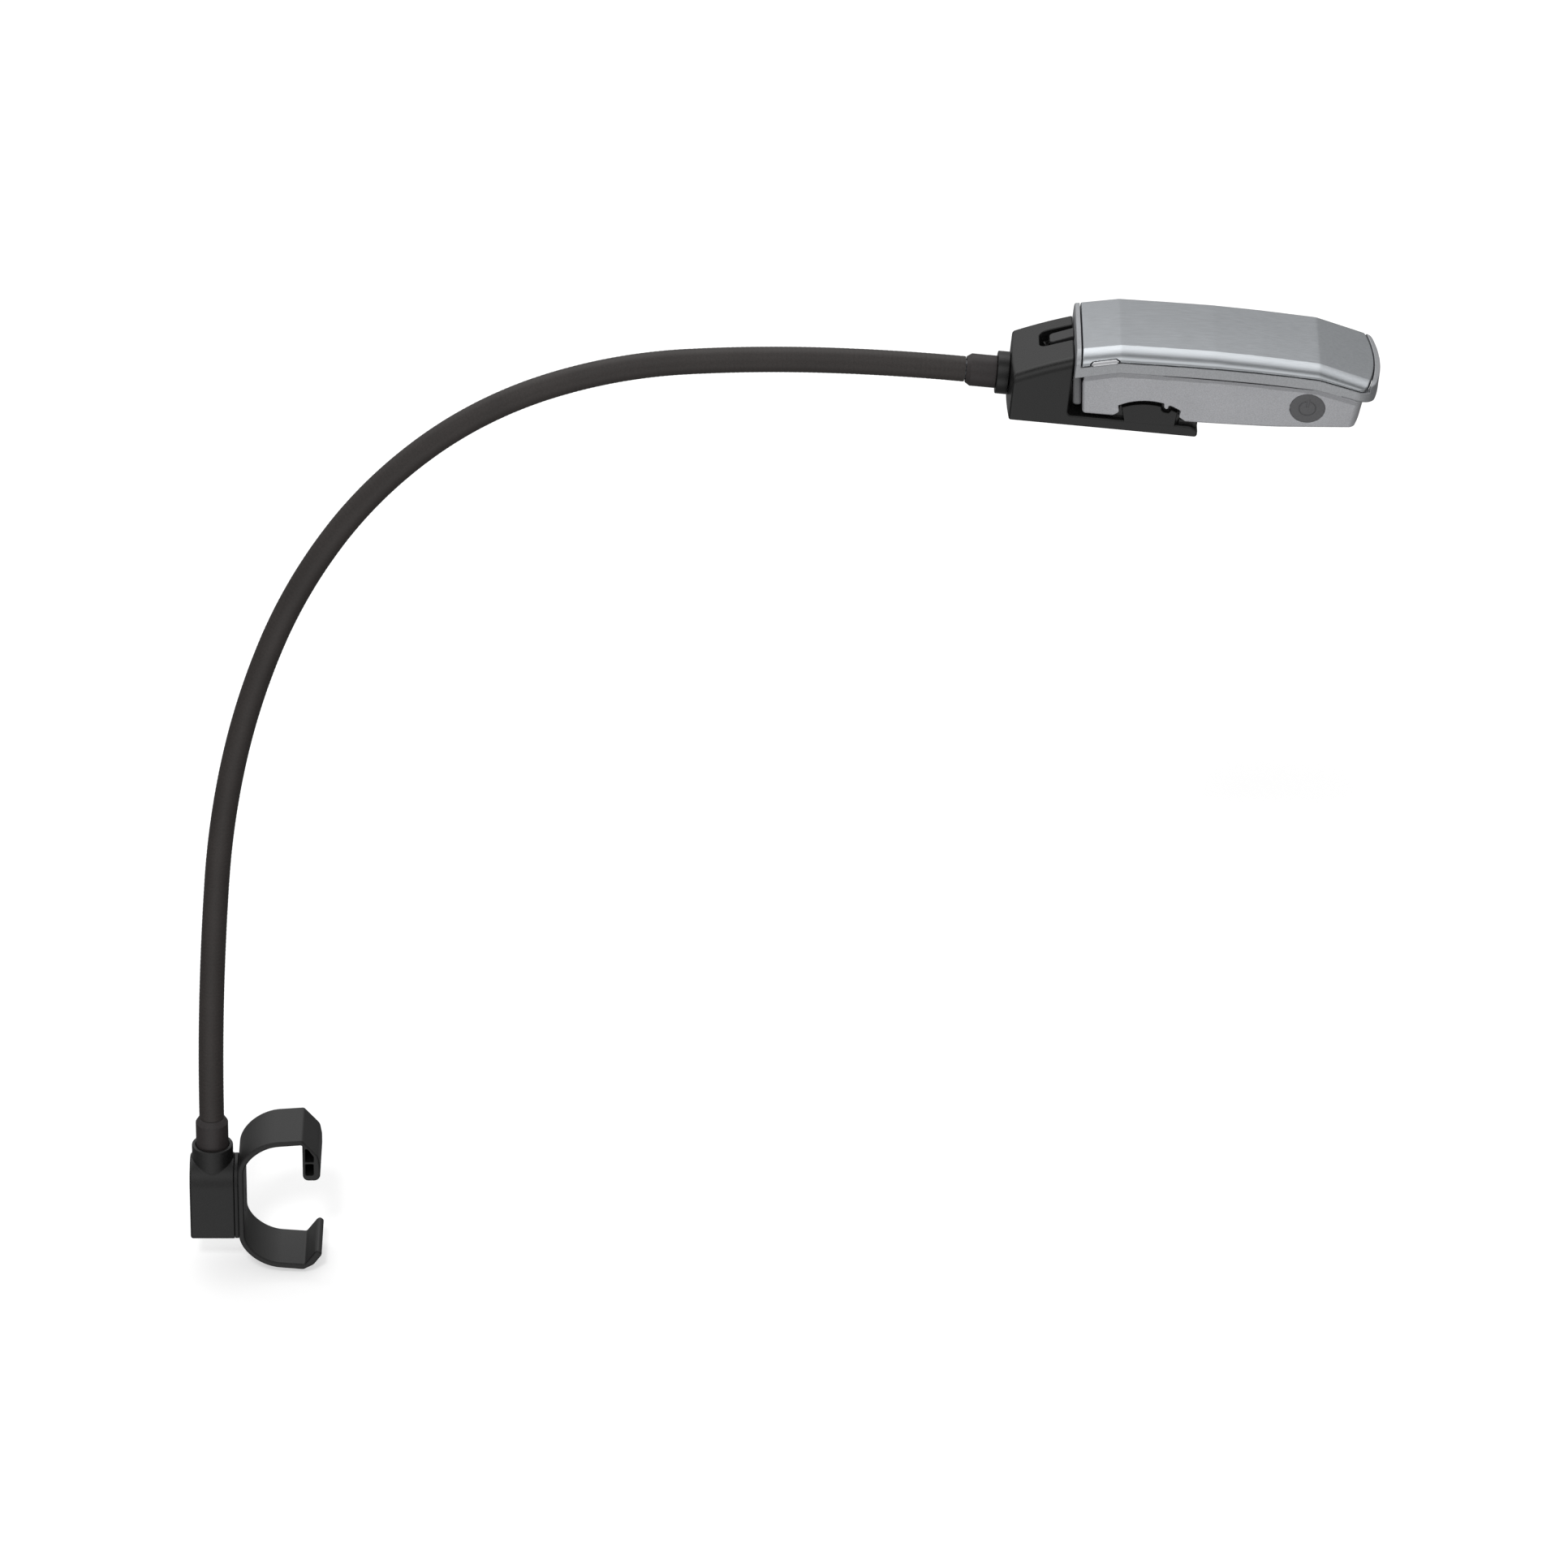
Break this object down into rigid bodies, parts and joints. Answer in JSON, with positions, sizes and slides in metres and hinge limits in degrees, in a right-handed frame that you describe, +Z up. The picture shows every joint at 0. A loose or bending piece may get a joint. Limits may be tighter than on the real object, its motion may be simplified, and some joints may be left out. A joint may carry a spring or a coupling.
{
  "type": "clip on reading lamp",
  "caption": "Battery reading lamp that snaps onto an oval rail: C-shaped swivelling clip, bendable gooseneck, open cradle and a lift-off lamp head with a power button on its side",
  "frame": {"origin": "Middle of the clip's inner space, on the axis of the rail that it snaps onto", "axes": "X points to the clip's mouth and to the lamp head, Y runs along the rail, Z is up"},
  "size_m": [0.3751, 0.0407, 0.334],
  "materials": {
    "tube_clip": "fine grain",
    "steel_hardware": "zinc plated",
    "socket_block": "fine grain",
    "friction_plate": "smooth",
    "ferrules": "satin",
    "neck_sleeve": "matte, faint rings",
    "neck_core": "coiled",
    "neck_collar": "satin",
    "cradle": "fine grain",
    "release_slider": "satin",
    "rim_frame": "silver paint",
    "lower_housing": "fine-grained silver paint",
    "seat_pad": "matte",
    "battery_tray": "moulded",
    "battery": "plain wrap",
    "contacts": "nickel plated",
    "circuit_board": "solder mask",
    "tact_switch": "moulded",
    "led": "phosphor",
    "reflector": "metallised",
    "lens": "clear",
    "small_screws": "zinc plated",
    "battery_cover": "satin silver paint",
    "cover_catch": "satin silver paint",
    "power_button": "soft matte"
  },
  "bodies": {
    "clip": {"tube_clip": "tube_clip", "swivel_screw": "steel_hardware"},
    "stem": {"socket_block": "socket_block", "friction_plate": "friction_plate", "swivel_nut": "steel_hardware", "neck_set_screw": "steel_hardware", "lower_ferrule": "ferrules", "neck_sleeve_1": "neck_sleeve", "neck_core_1": "neck_core"},
    "neck_2": {"neck_sleeve_2": "neck_sleeve", "neck_core_2": "neck_core"},
    "neck_3": {"neck_sleeve_3": "neck_sleeve", "neck_core_3": "neck_core"},
    "neck_4": {"neck_sleeve_4": "neck_sleeve", "neck_core_4": "neck_core"},
    "neck_5": {"neck_sleeve_5": "neck_sleeve", "neck_core_5": "neck_core"},
    "neck_6": {"neck_sleeve_6": "neck_sleeve", "neck_core_6": "neck_core"},
    "neck_7": {"neck_sleeve_7": "neck_sleeve", "neck_core_7": "neck_core"},
    "neck_8": {"neck_sleeve_8": "neck_sleeve", "neck_core_8": "neck_core"},
    "neck_9": {"neck_sleeve_9": "neck_sleeve", "neck_core_9": "neck_core"},
    "bracket": {"neck_sleeve_10": "neck_sleeve", "neck_core_10": "neck_core", "upper_ferrule": "ferrules", "neck_collar": "neck_collar", "cradle": "cradle", "neck_lock_screw": "steel_hardware", "release_spring": "steel_hardware"},
    "release_slider": {"release_slider": "release_slider"},
    "lamp_head": {"rim_frame": "rim_frame", "lower_housing": "lower_housing", "seat_pad": "seat_pad", "battery_tray": "battery_tray", "battery_1": "battery", "battery_2": "battery", "battery_3": "battery", "contact_strip_left": "contacts", "contact_strip_right": "contacts", "battery_spring_1": "contacts", "battery_spring_2": "contacts", "battery_spring_3": "contacts", "circuit_board": "circuit_board", "tact_switch": "tact_switch", "led_1": "led", "led_2": "led", "led_3": "led", "reflector": "reflector", "lens": "lens", "tray_screw_1": "small_screws", "tray_screw_2": "small_screws", "board_screw_1": "small_screws", "board_screw_2": "small_screws"},
    "battery_cover": {"battery_cover": "battery_cover"},
    "cover_catch": {"cover_catch": "cover_catch"},
    "power_button": {"power_button": "power_button"}
  },
  "joints": [
    {"name": "clip_swivel", "type": "hinge", "parent": "clip", "child": "stem", "pos_m": [-0.0133, 0, -0.0045], "axis": [1, 0, 0], "range_deg": [-90, 90]},
    {"name": "neck_bend_1", "type": "hinge", "parent": "stem", "child": "neck_2", "pos_m": [-0.02069, 0, 0.06979], "axis": [0, 1, 0], "range_deg": [-25, 25]},
    {"name": "neck_bend_2", "type": "hinge", "parent": "neck_2", "child": "neck_3", "pos_m": [-0.01808, 0, 0.11311], "axis": [-0.9969, 0, 0.0785], "range_deg": [-25, 25]},
    {"name": "neck_bend_3", "type": "hinge", "parent": "neck_3", "child": "neck_4", "pos_m": [-0.01178, 0, 0.15601], "axis": [0, 1, 0], "range_deg": [-25, 25]},
    {"name": "neck_bend_4", "type": "hinge", "parent": "neck_4", "child": "neck_5", "pos_m": [0.00078, 0, 0.1975], "axis": [-0.9304, 0, 0.3665], "range_deg": [-25, 25]},
    {"name": "neck_bend_5", "type": "hinge", "parent": "neck_5", "child": "neck_6", "pos_m": [0.02125, 0, 0.23567], "axis": [0, 1, 0], "range_deg": [-25, 25]},
    {"name": "neck_bend_6", "type": "hinge", "parent": "neck_6", "child": "neck_7", "pos_m": [0.05085, 0, 0.26719], "axis": [-0.6225, 0, 0.7826], "range_deg": [-25, 25]},
    {"name": "neck_bend_7", "type": "hinge", "parent": "neck_7", "child": "neck_8", "pos_m": [0.08869, 0, 0.28804], "axis": [0, 1, 0], "range_deg": [-25, 25]},
    {"name": "neck_bend_8", "type": "hinge", "parent": "neck_8", "child": "neck_9", "pos_m": [0.13111, 0, 0.29651], "axis": [-0.0593, 0, 0.9982], "range_deg": [-25, 25]},
    {"name": "neck_bend_9", "type": "hinge", "parent": "neck_9", "child": "bracket", "pos_m": [0.17449, 0, 0.29704], "axis": [0, 1, 0], "range_deg": [-25, 25]},
    {"name": "slider_release", "type": "slide", "parent": "bracket", "child": "release_slider", "axis": [-0.9585, 0, -0.2853], "range_m": [0, 0.003], "stiffness_N_per_m": 300, "springref_m": -0.001, "deforming": ["release_spring"]},
    {"name": "head_lift", "type": "slide", "parent": "bracket", "child": "lamp_head", "axis": [0.1045, 0, 0.9945], "range_m": [0, 0.012]},
    {"name": "cover_lift", "type": "slide", "parent": "lamp_head", "child": "battery_cover", "axis": [0.1045, 0, 0.9945], "range_m": [0, 0.012]},
    {"name": "catch_press", "type": "slide", "parent": "battery_cover", "child": "cover_catch", "axis": [0, 1, 0], "range_m": [0, 0.001], "stiffness_N_per_m": 400, "springref_m": -0.0005},
    {"name": "button_press", "type": "slide", "parent": "lamp_head", "child": "power_button", "axis": [0.0171, 0.9866, 0.1624], "range_m": [0, 0.0008], "stiffness_N_per_m": 800, "springref_m": -0.0005}
  ]
}
